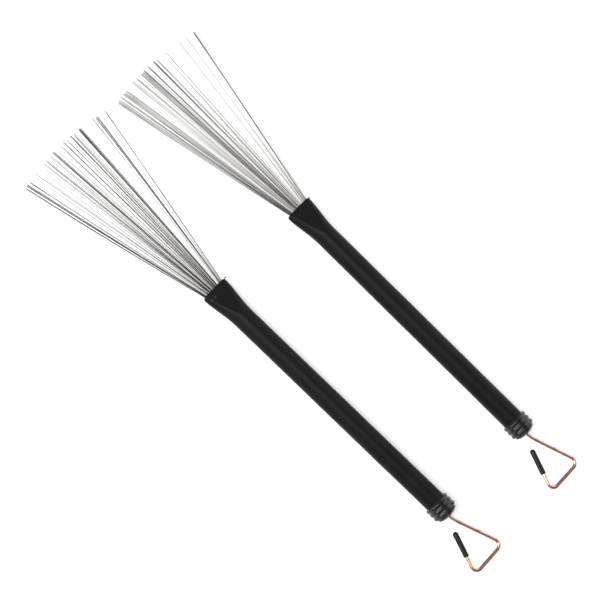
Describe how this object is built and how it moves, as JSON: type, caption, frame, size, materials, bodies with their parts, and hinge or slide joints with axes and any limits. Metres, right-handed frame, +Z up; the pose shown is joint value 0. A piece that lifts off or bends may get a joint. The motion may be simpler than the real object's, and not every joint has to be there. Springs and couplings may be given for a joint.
{
  "type": "retractable wire drum brushes",
  "caption": "Retractable wire drum brushes: steel wire fans in rubber-sleeved flared tubes, drawn in by copper-plated pull rods with a bent loop.",
  "frame": {"origin": "bottom centre of the pair's bounding box, on the table the brushes lie on", "axes": "+X along the handles towards the wire tips, +Y towards the left brush, +Z up"},
  "size_m": [0.3734, 0.1458, 0.0174],
  "materials": {
    "grip_rubber": "satin black, fine grain",
    "aluminium_tube": "drawn, black anodised",
    "cap_rubber": "glossier moulded black",
    "bush_plastic": "moulded black",
    "ring_rubber": "smooth",
    "copper_plate": "bright copper plate on steel rod",
    "vinyl_cap": "dipped vinyl, soft gloss",
    "brass": "turned and crimped",
    "nylon": "natural nylon",
    "spring_wire": "drawn spring steel"
  },
  "bodies": {
    "left_handle": {"left_grip_sleeve": "grip_rubber", "left_handle_tube": "aluminium_tube", "left_end_cap": "cap_rubber", "left_end_plug": "bush_plastic", "left_friction_ring": "ring_rubber"},
    "left_core": {"left_pull_rod": "copper_plate", "left_rod_tip": "vinyl_cap", "left_wire_ferrule": "brass", "left_slide_bush": "nylon", "left_wires": "spring_wire"},
    "right_handle": {"right_grip_sleeve": "grip_rubber", "right_handle_tube": "aluminium_tube", "right_end_cap": "cap_rubber", "right_end_plug": "bush_plastic", "right_friction_ring": "ring_rubber"},
    "right_core": {"right_pull_rod": "copper_plate", "right_rod_tip": "vinyl_cap", "right_wire_ferrule": "brass", "right_slide_bush": "nylon", "right_wires": "spring_wire"}
  },
  "joints": [
    {"name": "left_core_slide", "type": "slide", "parent": "left_handle", "child": "left_core", "axis": [-0.9999, -0.0065, 0.0093], "range_m": [0, 0.1363], "deforming": ["left_wires"]},
    {"name": "right_core_slide", "type": "slide", "parent": "right_handle", "child": "right_core", "axis": [-0.9999, 0.0065, 0.0093], "range_m": [0, 0.1363], "deforming": ["right_wires"]},
    {"name": "right_brush_lift", "type": "slide", "parent": "left_handle", "child": "right_handle", "axis": [0, 0, 1], "range_m": [0, 0.12]}
  ]
}
